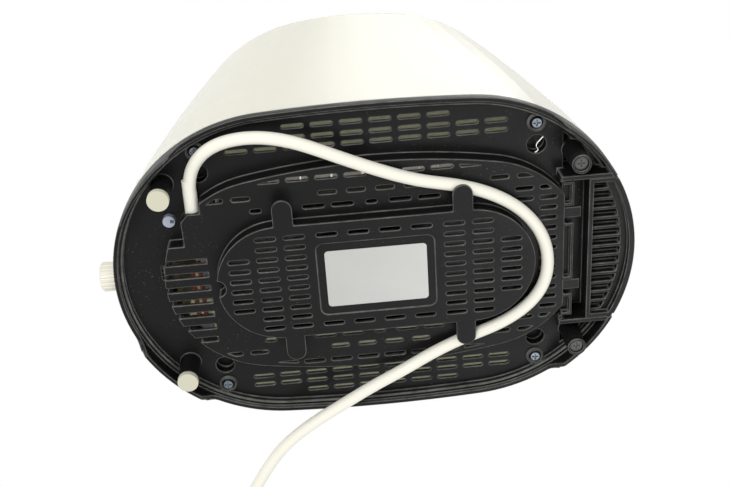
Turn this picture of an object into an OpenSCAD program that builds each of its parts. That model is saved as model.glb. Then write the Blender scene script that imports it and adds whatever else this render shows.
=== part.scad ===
// Two-slice pop-up toaster standing on its feet. +Z is up, the lever end faces -X, the crumb
// tray slides out towards +X and the mains lead leaves under the +Y side.

/* [Body] */
// Length of the body over its rounded ends
body_len = 278; // [265:1:290]
// Width of the body
body_wid = 182; // [176:1:190]
// Height of the top face above the table
body_h = 195; // [188:1:205]
// How far the long sides bow out beyond the rounded ends
side_rise = 1.5; // [1:0.1:5]
// Height of the seam between base and outer shell
seam_z = 20; // [19.5:0.1:20.6]
// Height of the base behind the knob and over the crumb tray
tall_z = 40; // [39:0.5:42]
// Wall of the outer shell
shell_wall = 2.5; // [2:0.1:3]
// Length of the body just under its top edge
top_len = 218; // [210:1:224]
// Radius of the shell's top edge
top_round = 12; // [10:1:14]

/* [Base] */
// Wall of the base moulding
base_wall = 2.2; // [2:0.1:2.6]
// How far the rim is drawn in under the skirt
rim_inset = 0.5; // [0.2:0.1:1]
// Height of the rim at the feet
rim_z = 8; // [7:0.5:9]
// Height of the rim in its arches
arch_z = 15; // [13:0.5:16]
// Height of the lower face of the base floor
floor_z = 21.5; // [21:0.1:22.5]
// Height of the lower face of the oval platform
plat_z = 11.5; // [11.3:0.1:12]
// Height of the lower face of the cord spool
spool_z = 2.7; // [2.5:0.1:3]
// Width of the hollow beside the oval platform
side_channel = 30; // [29:0.5:31]
// Width of the hollow before the platform at the lever end
end_channel = 27; // [26:0.5:29]
// Width of the platform's shelf round the cord spool
plat_shelf = 28; // [27:0.5:29]
// Width of a cord tab
tab_w = 10.4; // [9:0.2:12]
// Distance of each cord tab from the spool's end
tab_in = 37.7; // [37.2:0.1:38.1]
// How far the tabs reach out from the spool
tab_out = 14.5; // [13:0.5:16]
// Length of a vent slot
slot_len = 11.6; // [10:0.2:12.4]
// Width of a vent slot
slot_w = 2.5; // [2:0.1:3]
// Distance between neighbouring slots along the base
slot_pitch = 14.9; // [14.5:0.1:15]
// Diameter of a foot pad
pad_d = 11.2; // [9:0.2:12]
// Distance of the feet from the ends of the base
foot_in = 32.2; // [31:0.1:34]
// Distance of the feet from the edge of the crumb tray bay
foot_side = 12.4; // [11.5:0.1:13]
// Distance of the base screws from the ends of the base
screw_in = 51.2; // [50.5:0.1:52]
// Distance of the base screws from the sides of the base
screw_side = 19.9; // [19:0.1:21]
// Half width of the crumb tray bay
bay_half = 42; // [41:0.5:43]
// Length of the crumb tray bay
bay_len = 38; // [37:0.5:39]

/* [Bread] */
// Width of a bread slot
bread_w = 32; // [28:1:34]
// Length of a bread slot
bread_len = 142; // [130:1:144]
// Distance of each bread slot's middle from the middle line
bread_y = 28; // [27:0.5:29]
// Height of the bread rack when the lever is up
rack_z = 104; // [102:1:106]
// Travel of the carriage
travel = 48; // [44:1:49]

/* [Controls] */
// Diameter of the browning knob
knob_d = 16; // [14:0.5:18]
// Height of the browning knob's axis
knob_z = 28.7; // [28.5:0.1:29.5]
// How far the knob stands out from the skirt
knob_out = 9; // [7:0.5:12]
// Diameter of the knob's shaft
shaft_d = 6; // [5:0.5:7]
// Radial play of the shafts and rods
run_play = 0.05; // [0.03:0.01:0.08]
// Half width of the control panel
panel_half = 24; // [22:0.5:26]
// How far the panel's face is set back from the lever end
panel_set = 10; // [8:0.5:11]
// Diameter of a button
button_d = 9; // [8:0.5:10]
// Height of the buttons
button_z = 62; // [60:1:66]
// Travel of a button
button_travel = 2.5; // [2:0.1:2.8]

/* [Lead] */
// Diameter of the mains lead
cord_d = 6.7; // [6.5:0.1:6.9]

/* [Hidden] */
$fn = 48;

// Small amount by which a cutting shape passes through a wall
cut = 0.5;
// Gap between two rigid pieces that lie side by side
gap = 0.3;
// Reach of a shape that cuts away all that lies beyond an edge
far = 200;
half_len = body_len / 2;
half_wid = body_wid / 2;
end_r = half_wid - side_rise;
end_lean = (body_len - top_len) / 2;
floor_top = floor_z + base_wall;
// Inset of the base's step that stands inside the shell
lap = shell_wall + 3 * gap;
plat_half = half_wid - side_channel;
plat_reach = half_len - end_channel;
spool_half = plat_half - plat_shelf;
spool_reach = plat_reach - plat_shelf;
bay_x = half_len - bay_len;
bay_top = tall_z - 7;
screw_x = half_len - screw_in;
screw_y = half_wid - screw_side;
foot_x = half_len - foot_in;
foot_y = bay_half + foot_side;
panel_x = half_len - panel_set;
handle_x = bay_x + 12.5;
tray_half = bay_half - 3;
// The box of the object without its lead is centred on the origin
shift_x = knob_out / 2;

module place() translate([shift_x, 0, 0]) children();

// ---- Ovals: two end arcs of radius r, blended by two long side arcs ----
function side_r(a, b, r) = ((a - r) * (a - r) + b * b - r * r) / (2 * (b - r));
function side_k(a, b, r) = side_r(a, b, r) - b;
function join_angle(a, b, r) = atan2(side_k(a, b, r), a - r);

// Flat oval with half length a, half width b and end radius r
module oval(a, b, r) {
    big = side_r(a, b, r);
    k = side_k(a, b, r);
    join_x = a - r + r * cos(join_angle(a, b, r));
    for (s = [-1, 1]) translate([s * (a - r), 0]) circle(r, $fn = 96);
    intersection() {
        translate([0, -k]) circle(big, $fn = 360);
        translate([0, k]) circle(big, $fn = 360);
        square([2 * join_x, 2 * b + 2], center = true);
    }
}

// Points of one oval ring, anticlockwise, for lofted shells
ring_end = 12;
ring_side = 3;
ring_n = 4 * (ring_end + ring_side);
function quarter(a, b, r) = let (k = side_k(a, b, r), big = side_r(a, b, r), phi = join_angle(a, b, r))
    concat(
        [for (i = [0:ring_end - 1]) let (t = phi * i / ring_end) [a - r + r * cos(t), r * sin(t)]],
        [for (i = [0:ring_side - 1]) let (t = phi + (90 - phi) * i / ring_side)
            [big * cos(t), big * sin(t) - k]]
    );
function ring(a, b, r) = let (q = quarter(a, b, r), h = ring_n / 4) [
    for (i = [0:ring_n - 1])
        i < h ? q[i] :
        i == h ? [0, b] :
        i < 2 * h ? [-q[2 * h - i][0], q[2 * h - i][1]] :
        i == 2 * h ? [-a, 0] :
        i < 3 * h ? [-q[i - 2 * h][0], -q[i - 2 * h][1]] :
        i == 3 * h ? [0, -b] :
        [q[4 * h - i][0], -q[4 * h - i][1]]
];

// Closed solid through a stack of rings of equal length; levels are lists of [x, y, z]
module loft(levels) {
    n = len(levels[0]);
    m = len(levels);
    polyhedron(
        points = [for (l = levels) each l],
        faces = concat(
            [[for (i = [0:n - 1]) i]],
            [for (j = [0:m - 2]) for (i = [0:n - 1])
                [j * n + i, (j + 1) * n + i, (j + 1) * n + (i + 1) % n, j * n + (i + 1) % n]],
            [[for (i = [n - 1:-1:0]) (m - 1) * n + i]]
        ),
        convexity = 4
    );
}

// ---- Outer form of the shell ----
round_steps = 5;
function lean_at(z) = end_lean * pow((z - seam_z) / (body_h - seam_z), 1.3);
function shell_level(z, off) = let (
        up = max(0, z - (body_h - top_round)) / top_round,
        edge = top_round * (1 - sqrt(max(0, 1 - up * up))),
        b = half_wid - edge - off,
        a = half_len - lean_at(z) - edge - off,
        r = b - (half_wid - end_r)
    ) [for (p = ring(a, b, r)) [p[0], p[1], z]];
function shell_heights() = concat(
    [for (i = [0:4]) seam_z + (body_h - top_round - seam_z) * i / 4],
    [for (i = [1:round_steps]) body_h - top_round + top_round * sin(90 * i / round_steps)]
);

// Solid form of the shell; off draws every wall in
module shell_form(off) {
    hs = shell_heights();
    loft([for (z = hs) [
        for (p = shell_level(z, off)) [p[0], p[1], off == 0 ? z : z == seam_z ? z - cut : z - off]
    ]]);
}

top_inset = 6;
// Flat top of the shell, drawn in by off
module top_oval(off) oval(
    half_len - end_lean - top_round - off, half_wid - top_round - off, end_r - top_round - off
);
boss_d = 7;
lug_h = 16;
web_len = screw_side - 12.5;
module screw_places() for (sx = [-1, 1], sy = [-1, 1])
    translate([sx * screw_x, sy * screw_y, 0]) children();

module outer_shell() {
    color([0.90, 0.87, 0.76]) difference() {
        union() {
            difference() {
                shell_form(0);
                shell_form(shell_wall);
            }
            // Screw columns, tied to the wall by a web
            screw_places() translate([0, 0, floor_top]) cylinder(d = boss_d, h = lug_h);
            for (sx = [-1, 1], sy = [-1, 1])
                translate([sx * screw_x - 1, sy > 0 ? screw_y : -screw_y - web_len, floor_top + 2])
                    cube([2, web_len, lug_h - 2]);
        }
        translate([0, 0, body_h - 2 * shell_wall]) linear_extrude(3 * shell_wall) top_oval(top_inset);
        // Openings for the control panel and for the base's raised end
        translate([-half_len - cut, -panel_half - gap, seam_z - cut])
            cube([40, 2 * (panel_half + gap), panel_top - seam_z + gap + cut]);
        translate([bay_x, -frame_half - gap, seam_z - cut])
            cube([far, 2 * (frame_half + gap), tall_z - seam_z + gap + cut]);
        screw_places() translate([0, 0, floor_top - cut]) cylinder(d = 3, h = lug_h - 2);
    }
}

// Plate that frames the two bread slots, with a lip hanging into each
lip_h = 10;
module top_plate() {
    color([0.80, 0.80, 0.81]) difference() {
        union() {
            translate([0, 0, body_h - shell_wall - 0.1]) linear_extrude(shell_wall - 0.3)
                top_oval(top_inset + gap);
            // Flange that lies under the shell's edge
            translate([0, 0, body_h - shell_wall - 1.5]) linear_extrude(1.5) top_oval(top_inset - 2);
            for (s = [-1, 1])
                translate([-bread_len / 2 - 1, s * bread_y - bread_w / 2 - 1, body_h - lip_h])
                    cube([bread_len + 2, bread_w + 2, lip_h - 1]);
        }
        for (s = [-1, 1])
            translate([-bread_len / 2, s * bread_y - bread_w / 2, body_h - lip_h - cut])
                cube([bread_len, bread_w, lip_h + 2 * cut]);
    }
}

// ---- Control panel ----
panel_top = 150;
panel_wall = 2;
panel_back = panel_x - 17;
lever_z = rack_z + 28;
lever_slot_w = 8;
// Outline in plan: a flat housing with rounded front corners
module panel_outline(off) {
    r = 6;
    w = panel_half - off;
    x = panel_x - off;
    translate([-x + r, -w]) square([x - r - panel_back, 2 * w]);
    translate([-x, -w + r]) square([x - panel_back, 2 * (w - r)]);
    for (s = [-1, 1]) translate([-x + r, s * (w - r)]) circle(r);
}
module control_panel() {
    color([0.13, 0.13, 0.14]) difference() {
        translate([0, 0, tall_z + gap]) linear_extrude(panel_top - tall_z - gap) panel_outline(0);
        translate([panel_wall + 0.01, 0, tall_z - cut])
            linear_extrude(panel_top - tall_z - panel_wall + cut) panel_outline(panel_wall);
        // Lever slot
        translate([-panel_x - cut, -lever_slot_w / 2, lever_z - travel - 7])
            cube([panel_wall + 2 * cut + 2, lever_slot_w, travel + 12]);
        for (y = [-14, 0, 14])
            translate([-panel_x - cut, y, button_z]) rotate([0, 90, 0])
                cylinder(d = button_d + 2 * gap, h = 6);
    }
}

// ---- Base moulding ----
frame_half = bay_half + base_wall;
// Flat shape inside the skirt, drawn in by off
module plan(off) oval(half_len - off, half_wid - off, end_r - off);

// Arch cut into the rim: a low bump with eased ends, half width w at its foot
function ease(t) = (1 - cos(180 * t)) / 2;
module arch(w, run) polygon(concat(
    [for (i = [0:6]) [-w + run * i / 6, rim_z - cut + (arch_z - rim_z + cut) * ease(i / 6)]],
    [for (i = [6:-1:0]) [w - run * i / 6, rim_z - cut + (arch_z - rim_z + cut) * ease(i / 6)]]
));

// Wall along the body's oval between two heights and two insets
module oval_wall(z0, z1, outside, inside) translate([0, 0, z0]) linear_extrude(z1 - z0) difference() {
    plan(outside);
    plan(inside);
}
rim_lip = 2.5;
ledge_t = 2.5;
lap_t = 1.1;
lap_top = floor_top + 0.8;
module skirt() difference() {
    union() {
        oval_wall(rim_z, seam_z, rim_inset, base_wall);
        oval_wall(rim_z + rim_lip, seam_z, 0, base_wall - 0.4);
        // Ledge under the shell's edge, and the step that stands inside the shell
        oval_wall(seam_z - ledge_t, seam_z, base_wall / 2, lap + lap_t / 2);
        oval_wall(seam_z - ledge_t + 0.5, lap_top, lap, lap + lap_t);
        // The wall is tall only below the control panel and round the tray bay
        intersection() {
            oval_wall(seam_z, tall_z, 0, base_wall);
            translate([0, 0, rim_z]) linear_extrude(tall_z) {
                translate([-far, -panel_half]) square([far, 2 * panel_half]);
                translate([bay_x, -frame_half]) square([far, 2 * frame_half]);
            }
        }
        // Ledge in front of the control panel
        translate([0, 0, tall_z - base_wall]) linear_extrude(base_wall) intersection() {
            plan(base_wall / 2);
            translate([-far, -panel_half]) square([far - panel_x + 1.5, 2 * panel_half]);
        }
    }
    rotate([90, 0, 0]) translate([0, 0, -half_wid - 1]) linear_extrude(body_wid + 2)
        arch(half_len - 35, 10);
    rotate([90, 0, -90]) translate([0, 0, half_len - 40]) linear_extrude(42) arch(42, 10);
    // Bay of the crumb tray
    translate([bay_x, -bay_half, rim_z - cut]) cube([60, 2 * bay_half, bay_top - rim_z + cut]);
}

module slot(x, y, len) {
    r = slot_w / 2;
    translate([x, y]) square([len - slot_w, slot_w], center = true);
    for (s = [-1, 1]) translate([x + s * (len / 2 - r), y]) circle(r, $fn = 16);
}
// Row of slots at equal pitch, n of them, centred
module slot_row(y, n) for (i = [0:n - 1]) slot((i - (n - 1) / 2) * slot_pitch, y, slot_len);

// Every field of slots stops short of the walls round it
slot_edge = 0.3;
floor_rows = [[11, 6], [17, 10], [22.5, 10]];
module floor_slots() difference() {
    for (s = [-1, 1], row = floor_rows) slot_row(s * (half_wid - row[0]), row[1]);
    plat_plan(-slot_edge);
    screw_places() circle(5);
}
comb_pitch = 5.95;
comb_rows = 14;
side_slots = [
    [6, 47, 7], [14.7, 31, 9.8], [14.7, 45, 9.8], [14.7, 89.7, 9.8], [14.7, 104.5, 9.8],
    [22, 82, 11.6], [22, 97, 11.6],
];
module plat_slots() intersection() {
    difference() {
        plat_plan(base_wall + slot_edge);
        spool_plan(-slot_edge);
    }
    union() {
        for (s = [-1, 1]) {
            slot_row(s * (plat_half - 6), 8);
            // Each entry gives the distances from the platform's side and end, and the length
            for (e = [-1, 1], p = side_slots) slot(e * (plat_reach - p[1]), s * (plat_half - p[0]), p[2]);
            for (x = [52 - plat_reach, 0]) slot(x, s * (plat_half - 22), 6);
        }
        for (i = [0:comb_rows - 1]) {
            y = (i - (comb_rows - 1) / 2) * comb_pitch;
            slot(plat_reach - 19.5, y, 9.2);
            if (abs(y) > 28) slot(plat_reach - 32.2, y, 9.6);
        }
    }
}
spool_pitch = 5.9;
spool_slot = 11;
module spool_slots() intersection() {
    difference() {
        spool_plan(base_wall + slot_edge);
        square([recess[0] + 2, recess[1] + 2], center = true);
    }
    union() {
        for (i = [0:9]) {
            y = (i - 4.5) * spool_pitch;
            for (e = [-1, 1], j = [1, 2]) slot(e * (spool_reach - 12.7 - j * slot_pitch), y, spool_slot);
            if (abs(y) < 16) for (e = [-1, 1]) slot(e * (spool_reach - 12.7), y, spool_slot);
        }
        for (s = [-1, 1], j = [-1.5:1:1.5]) slot(16.4 * j, s * 4.5 * spool_pitch, spool_slot);
    }
}
// Where the platform steps back for the lead, and again for the lead's clip
notch_x = plat_reach - 23.5;
notch_y = 21 - plat_half;
clip_x = plat_reach - 13;
clip_y = notch_y + 18;
// Big louvres through the platform's floor and its step at the lever end
louvre_w = 3.2;
louvre_pitch = 8;
module louvres() for (i = [0:6])
    translate([-plat_reach - 4, louvre_pitch * (i - 1.6) - louvre_w / 2, 0])
        cube([plat_reach + 4 - notch_x, louvre_w, floor_z - 3]);

module plat_plan(off) difference() {
    intersection() {
        oval(plat_reach - off, plat_half - off, plat_half - 5 - off);
        translate([-far, -far]) square([far + bay_x - off, 2 * far]);
    }
    translate([-far, -far]) square([far - notch_x + off, far + notch_y + off]);
    translate([-far, notch_y - 1]) square([far - clip_x + off, clip_y - notch_y + 1 + off]);
}
module spool_plan(off) difference() {
    union() {
        square([2 * (spool_reach - spool_half), 2 * (spool_half - off)], center = true);
        for (s = [-1, 1]) translate([s * (spool_reach - spool_half), 0]) circle(spool_half - off, $fn = 96);
    }
    translate([-spool_reach - 0.5, 0]) circle(5 + off);
}
// Round wells inward of the screws
well_r = 5.2;
module well_places() for (sx = [-1, 1], sy = [-1, 1])
    translate([sx * (screw_x + 0.2), sy * (screw_y - 12.4)]) children();
corner_z = 30;
corner_in = lap + 0.75;

module base_floor() difference() {
    union() {
        translate([0, 0, floor_z]) linear_extrude(base_wall) difference() {
            intersection() {
                plan(lap + base_wall / 2);
                translate([-far, -far]) square([far + bay_x + 1, 2 * far]);
            }
            plat_plan(base_wall);
            floor_slots();
            well_places() circle(well_r);
            screw_places() circle(1.8);
            translate([-plat_reach - 2.5, -7]) square([3, 8.5]);
            translate([-clip_x - 7, notch_y + 6]) circle(3.4);
        }
        // Raised corners round the rear feet, their wall rising from the middle of the lap
        translate([0, 0, corner_z]) linear_extrude(base_wall) difference() {
            intersection() {
                plan(corner_in);
                translate([bay_x, -far]) square([far, 2 * far]);
            }
            translate([bay_x - 1, -bay_half]) square([far, 2 * bay_half]);
        }
        translate([0, 0, floor_z]) linear_extrude(corner_z + base_wall - floor_z) difference() {
            intersection() {
                plan(corner_in);
                translate([bay_x - base_wall, -far]) square([far, 2 * far]);
            }
            intersection() {
                plan(corner_in + base_wall);
                translate([bay_x, -far]) square([far, 2 * far]);
            }
            translate([bay_x - base_wall - 1, -bay_half]) square([far, 2 * bay_half]);
        }
        // Rings round the base screws and cups over the wells
        screw_places() translate([0, 0, floor_z - 1.9]) difference() {
            cylinder(d = 9.4, h = 2);
            translate([0, 0, -cut]) cylinder(d = 7.8, h = 3);
        }
        well_places() translate([0, 0, floor_z]) difference() {
            cylinder(r = well_r + 1.4, h = 8);
            translate([0, 0, -cut]) cylinder(r = well_r, h = 7);
        }
    }
}
module platform() {
    translate([0, 0, plat_z]) linear_extrude(base_wall) difference() {
        plat_plan(0.01);
        spool_plan(base_wall);
        plat_slots();
    }
    translate([0, 0, plat_z]) linear_extrude(floor_top - plat_z) difference() {
        plat_plan(0);
        plat_plan(base_wall);
    }
}
recess = [62, 42.5];
recess_r = 4;
module soft_square(size, r) {
    square([size[0] - 2 * r, size[1]], center = true);
    square([size[0], size[1] - 2 * r], center = true);
    for (sx = [-1, 1], sy = [-1, 1])
        translate([sx * (size[0] / 2 - r), sy * (size[1] / 2 - r)]) circle(r);
}
// Where the round end of a cord tab has its centre
tab_end = spool_half + tab_out - tab_w / 2;
tab_t = 1.6;
module spool() difference() {
    union() {
        translate([0, 0, spool_z]) linear_extrude(base_wall) difference() {
            spool_plan(0.01);
            spool_slots();
        }
        translate([0, 0, spool_z]) linear_extrude(plat_z + base_wall - spool_z) difference() {
            spool_plan(0);
            spool_plan(base_wall);
        }
        // Cord tabs
        for (sx = [-1, 1], sy = [-1, 1]) translate([sx * (spool_reach - tab_in), 0, spool_z]) {
            translate([-tab_w / 2, sy > 0 ? spool_half - 1 : -tab_end, 0])
                cube([tab_w, tab_end - spool_half + 1, tab_t]);
            translate([0, sy * tab_end, 0]) cylinder(d = tab_w, h = tab_t);
        }
    }
    translate([0, 0, spool_z - cut]) linear_extrude(cut + 0.7) soft_square(recess, recess_r);
}
// Ribbed boxes and latch tongues on the platform's end wall, inside the bay
bay_boxes = [[-40, 13.5], [-16, 33.5], [27, 13]];
box_rib = 1.2;
module bay_details() {
    for (b = bay_boxes)
        translate([bay_x - 0.5, b[0], plat_z]) difference() {
            cube([5.5, b[1], 5]);
            translate([-cut, box_rib, -cut]) cube([4.8, b[1] - 2 * box_rib, 5 - box_rib + cut]);
        }
    for (y = [-22.2, 21.2]) translate([bay_x - 0.5, y - 2.8, plat_z + 0.8]) cube([9.5, 5.6, 2]);
}
// Rails that carry the crumb tray over the sunken platform
rail_y = tray_half - 4;
rail_t = 1.2;
tray_front = -80;
module tray_rails() for (s = [-1, 1])
    translate([tray_front, s * rail_y - rail_t / 2, plat_z + base_wall - 0.1])
        cube([bay_x - tray_front - 1, rail_t, floor_top - plat_z - base_wall + 0.1]);
module bay_walls() intersection() {
    translate([0, 0, rim_z]) linear_extrude(tall_z - 4 - rim_z) plan(base_wall / 2);
    union() {
        for (s = [-1, 1])
            translate([bay_x - base_wall, s > 0 ? bay_half : -frame_half, rim_z + 1])
                cube([60, base_wall, bay_top - rim_z]);
        translate([bay_x - base_wall, -frame_half, bay_top]) cube([60, 2 * frame_half, base_wall]);
        // End wall above the tray's mouth, and the strips beside it
        for (s = [-1, 1]) translate([bay_x - base_wall, s > 0 ? bay_half - 1.5 : -bay_half, plat_z])
            cube([base_wall, 1.5, bay_top - plat_z]);
    }
}
front_post_d = 10.6;
rear_post_d = 10;
pad_h = 3;
module posts() for (s = [-1, 1]) {
    translate([-foot_x, s * foot_y, pad_h])
        cylinder(d1 = front_post_d, d2 = front_post_d + 1, h = floor_z - pad_h + 0.1);
    translate([foot_x, s * foot_y, 0]) difference() {
        cylinder(d1 = rear_post_d, d2 = rear_post_d + 1.6, h = corner_z + 0.1);
        translate([0, 0, -cut]) cylinder(d = 7.6, h = 4 + cut);
    }
}
lead_x = -notch_x - 4.3;
lead_z = 17.6;
relief_d = 7.6;
module base_shell() {
    color([0.12, 0.12, 0.13]) difference() {
        union() {
            skirt();
            base_floor();
            platform();
            spool();
            bay_walls();
            tray_rails();
            bay_details();
            posts();
        }
        louvres();
        // Passages for the lead, the knob's shaft and the tray
        translate([lead_x, notch_y - 4, lead_z]) rotate([-90, 0, 0]) cylinder(d = relief_d, h = 8);
        translate([-half_len - cut, 0, knob_z]) rotate([0, 90, 0])
            cylinder(d = shaft_d + 2 * run_play, h = base_wall + 2 * cut);
    }
}

// ---- Crumb tray ----
tray_wall = 0.8;
tray_h = 7;
module crumb_tray() {
    color([0.62, 0.63, 0.65]) translate([tray_front, -tray_half, floor_top + gap]) difference() {
        cube([handle_x - tray_front, 2 * tray_half, tray_h]);
        translate([tray_wall, tray_wall, tray_wall])
            cube([handle_x - tray_front - 2 * tray_wall, 2 * (tray_half - tray_wall), tray_h]);
    }
}
handle_bottom = 9;
handle_top = bay_top - gap;
handle_half = bay_half - gap;
rib_pitch = 5.6;
rib_gap = 4.2;
pocket = 9;
// Where the handle's side meets its curved face
handle_end = half_len - end_r + sqrt(end_r * end_r - handle_half * handle_half);
module tray_handle() {
    color([0.12, 0.12, 0.13]) difference() {
        union() {
            translate([0, 0, handle_bottom]) linear_extrude(handle_top - handle_bottom) intersection() {
                plan(gap);
                translate([handle_x, -handle_half]) square([far, 2 * handle_half]);
            }
            // Plate under the tray's end
            translate([bay_x + 1 + gap, -tray_half, floor_z])
                cube([handle_x - bay_x - 1, 2 * tray_half, base_wall]);
        }
        for (s = [-1, 1]) translate([handle_end, s * handle_half, handle_bottom - cut]) rotate(45)
            translate([-1.2, -1.2, 0]) cube([2.4, 2.4, handle_top]);
        // Pockets between the ribs, open below
        intersection() {
            translate([0, 0, handle_bottom - cut]) linear_extrude(pocket + cut) plan(7);
            for (i = [0:13])
                translate([handle_x + base_wall, (i - 6.5) * rib_pitch - rib_gap / 2, 0])
                    cube([60, rib_gap, tall_z]);
        }
        translate([0, 0, handle_bottom - cut]) linear_extrude(4 + cut) intersection() {
            plan(base_wall + 1);
            translate([handle_x + base_wall, -bay_half + 2.5]) square([far, 2 * (bay_half - 2.5)]);
        }
    }
}

// ---- Feet, screws and label ----
module foot_pads() color([0.78, 0.77, 0.70]) for (s = [-1, 1])
    translate([-foot_x, s * foot_y, 0]) cylinder(d = pad_d, h = pad_h);
module foot_discs() color([0.15, 0.15, 0.16]) for (s = [-1, 1])
    translate([foot_x, s * foot_y, 1.5]) difference() {
        cylinder(d = 6.8, h = 2.5);
        for (a = [0, 90]) rotate(a) translate([-2, -0.5, -cut]) cube([4, 1, 1.5]);
    }
module base_screws() color([0.75, 0.75, 0.76])
    screw_places() translate([0, 0, floor_z - 1.8]) difference() {
        union() {
            cylinder(d1 = 5, d2 = 6.6, h = 1.8);
            cylinder(d = 2.9, h = 12);
        }
        for (a = [0, 90]) rotate(a) translate([-1.8, -0.4, -cut]) cube([3.6, 0.8, 1.4]);
    }
module label_plate() color([0.80, 0.81, 0.83])
    translate([0, 0, spool_z + 0.4]) linear_extrude(0.3) soft_square([53.5, 33], 2);

// ---- Chassis ----
sheet = 1;
plate_low = 40;
plate_top = body_h - 17;
front_x = -84;
rear_x = 83;
plate_half = 57.5;
// The plates stand on two feet between these distances from the middle line
foot_low = 44;
foot_out = 52;
rod_y = 20;
rod_d = 4;
rod_x = front_x - 8;
ear_high = 166;
magnet_h = 10;
magnet_top = rack_z - 4 - travel - gap - 0.1;
ear_low = magnet_top - magnet_h - sheet - gap;
guard_x = 15;
pivot_z = 55;
pivot_d = 2.4;
module plate_cuts() {
    // Slots that the bread racks run in, and holes for the guard pivots
    for (s = [-1, 1]) {
        translate([-cut, s * bread_y - 2, rack_z - travel - 4]) cube([sheet + 2 * cut, 4, travel + 16]);
        for (g = [-1, 1]) translate([-cut, s * bread_y + g * guard_x, pivot_z]) rotate([0, 90, 0])
            cylinder(d = pivot_d + 2 * run_play, h = sheet + 2 * cut);
    }
}
module front_plate() color([0.70, 0.71, 0.72]) {
    difference() {
        union() {
            translate([front_x, -plate_half, plate_low])
                cube([sheet, 2 * plate_half, plate_top - plate_low]);
            for (s = [-1, 1]) translate([front_x, s > 0 ? foot_low : -foot_out, floor_top])
                cube([sheet, foot_out - foot_low, plate_low - floor_top + 0.1]);
        }
        translate([front_x, 0, 0]) plate_cuts();
    }
    // Ears that hold the guide rods
    for (z = [ear_low, ear_high]) translate([rod_x - 5, -rod_y - 6, z])
        cube([front_x - rod_x + 5.1, 2 * rod_y + 12, sheet]);
}
module rear_plate() color([0.70, 0.71, 0.72]) difference() {
    union() {
        translate([rear_x, -plate_half, plate_low]) cube([sheet, 2 * plate_half, plate_top - plate_low]);
        for (s = [-1, 1]) translate([rear_x, s > 0 ? foot_low : -foot_out, floor_top])
            cube([sheet, foot_out - foot_low, plate_low - floor_top + 0.1]);
    }
    translate([rear_x, 0, 0]) plate_cuts();
}
reflector_y = plate_half - 1.5;
module side_reflectors() color([0.78, 0.79, 0.80]) for (s = [-1, 1])
    translate([front_x + sheet, s * reflector_y - 0.4, plate_low + 4]) {
        cube([rear_x - front_x - sheet, 0.8, plate_top - plate_low - 6]);
        for (z = [0, plate_top - plate_low - 6.8])
            translate([0, s > 0 ? -3 : 0, z]) cube([rear_x - front_x - sheet, 3.8, 0.8]);
    }
board_y = 52;
board_t = 0.8;
board_low = 48;
board_high = 168;
module heater_boards() color([0.72, 0.62, 0.42]) for (y = [-board_y, 0, board_y])
    translate([front_x + sheet, y - board_t / 2, board_low])
        cube([rear_x - front_x - sheet, board_t, board_high - board_low]);
wire_n = 11;
wire_span = rear_x - front_x - 43;
module heating_wires() color([0.55, 0.53, 0.50]) for (y = [-board_y, 0, board_y], i = [0:wire_n - 1])
    translate([front_x + 22 + wire_span * i / (wire_n - 1), y, 0]) for (s = [-1, 1])
        translate([-0.6, s > 0 ? board_t / 2 : -board_t / 2 - 0.3, board_low + 6])
            cube([1.2, 0.3, board_high - board_low - 12]);
module guide_rods() color([0.80, 0.80, 0.82]) for (s = [-1, 1])
    translate([rod_x, s * rod_y, ear_low + sheet]) cylinder(d = rod_d, h = ear_high - ear_low - sheet);

// ---- Carriage ----
car_low = rack_z - 2;
car_high = rack_z + 36;
bracket_x = front_x - 5.5;
module carriage() color([0.72, 0.73, 0.74]) difference() {
    union() {
        translate([bracket_x, -32, car_low]) cube([1.5, 64, car_high - car_low]);
        for (z = [car_low, car_high - 2]) translate([rod_x - 4, -rod_y - 5, z])
            cube([bracket_x - rod_x + 4.5, 2 * rod_y + 10, 2]);
        // Armature that the magnet holds
        translate([bracket_x - 6, -8, car_low - 2]) cube([7, 16, 2.1]);
    }
    for (s = [-1, 1]) translate([rod_x, s * rod_y, car_low - cut])
        cylinder(d = rod_d + 2 * run_play, h = car_high - car_low + 2 * cut);
}
rack_t = 2;
module bread_racks() color([0.75, 0.76, 0.77]) for (s = [-1, 1]) {
    translate([bracket_x + 1.5, s * bread_y - rack_t / 2, rack_z])
        cube([rear_x + 5 - bracket_x - 1.5, rack_t, 6]);
    for (x = [-66.5:19:66.5]) translate([x, s * bread_y, rack_z + 5]) rotate([90, 0, 0])
        cylinder(d = 2, h = 12, center = true);
}
module lever_arm() color([0.72, 0.73, 0.74])
    translate([-panel_x - 4, -1, lever_z - 5]) cube([panel_x + 4 + bracket_x, 2, 7]);
lever_in = panel_x + 2.5;
lever_out = panel_x + 12;
module lever_knob() color([0.90, 0.87, 0.76]) difference() {
    translate([-lever_out, 0, lever_z - 7.5]) {
        r = 3;
        linear_extrude(11) {
            translate([0, -11 + r]) square([lever_out - lever_in, 22 - 2 * r]);
            translate([r, -11]) square([lever_out - lever_in - r, 22]);
            for (s = [-1, 1]) translate([r, s * (11 - r)]) circle(r);
        }
    }
    translate([-panel_x - 4, -1, lever_z - 5]) cube([10, 2, 7]);
}
// Tension spring that lifts the carriage: a helix swept by a rule
spring_r = 3;
wire_d = 0.9;
spring_turns = 9;
spring_low = car_high;
spring_high = ear_high;
spring_y = -9;
module return_spring() color([0.60, 0.60, 0.62]) {
    steps = spring_turns * 10;
    span = spring_high - spring_low - 2 * wire_d;
    loft_tube([for (i = [0:steps]) [
        rod_x + spring_r * cos(36 * i), spring_y + spring_r * sin(36 * i),
        spring_low + wire_d + span * i / steps
    ]], wire_d / 2, 5);
    for (z = [spring_low, spring_high - wire_d]) translate([rod_x, spring_y, z])
        cylinder(r = spring_r + wire_d / 2, h = wire_d);
}

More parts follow.
